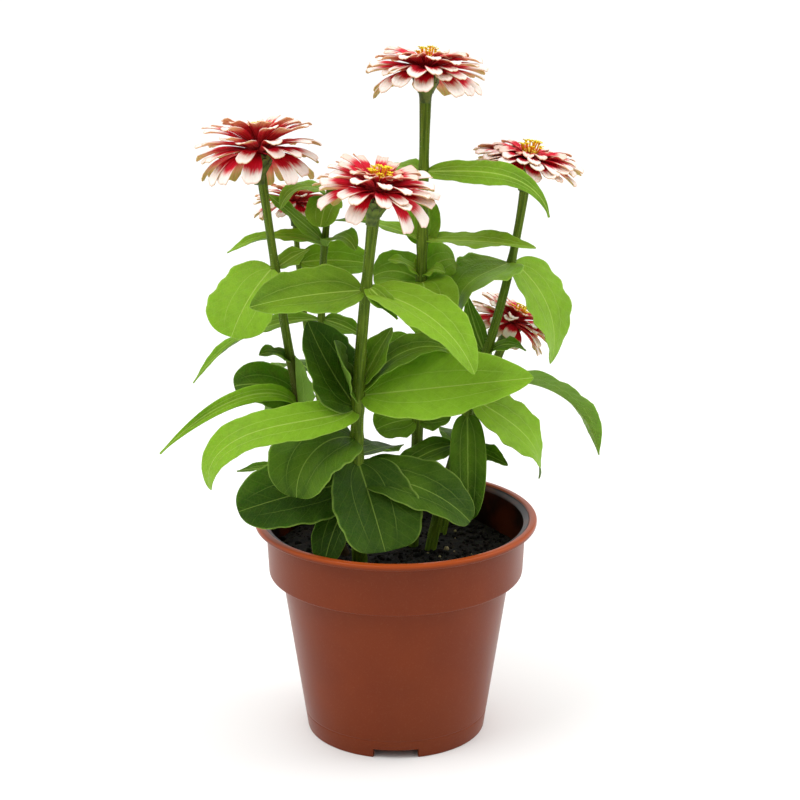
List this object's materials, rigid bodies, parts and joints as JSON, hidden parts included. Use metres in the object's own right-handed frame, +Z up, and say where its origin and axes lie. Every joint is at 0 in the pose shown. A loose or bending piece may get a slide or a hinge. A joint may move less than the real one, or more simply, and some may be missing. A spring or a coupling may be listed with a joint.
{
  "type": "potted flowering plant",
  "caption": "Bushy leafy plant with layered crimson-to-pink blooms on upright stems, growing in a round tapered terracotta-coloured plastic pot.",
  "frame": {"origin": "middle of the pot's foot, on the surface it stands on", "axes": "+Z up along the pot's axis; the front of the plant and one notch of the pot's foot face -Y; +X is to the right seen from the front"},
  "size_m": [0.2303, 0.1504, 0.3621],
  "materials": {
    "pot": "satin terracotta brown",
    "soil": "dark crumbly potting mix",
    "green": "living leaf and stalk, soft satin, hairy",
    "rays": "matt petals, crimson inside to pale pink tips",
    "disc": "matt yellow florets"
  },
  "bodies": {
    "root": {"pot": "pot", "soil": "soil", "stem_front": "green", "stem_left": "green", "stem_tall": "green", "stem_right": "green", "stem_back_left": "green", "stem_back_right": "green", "shoot_young": "green", "bloom_front_rays": "rays", "bloom_front_disc": "disc", "bloom_left_rays": "rays", "bloom_left_disc": "disc", "bloom_tall_rays": "rays", "bloom_tall_disc": "disc", "bloom_right_rays": "rays", "bloom_right_disc": "disc", "bloom_small_rays": "rays", "bloom_small_disc": "disc", "bloom_low_rays": "rays", "bloom_low_disc": "disc"}
  },
  "joints": []
}
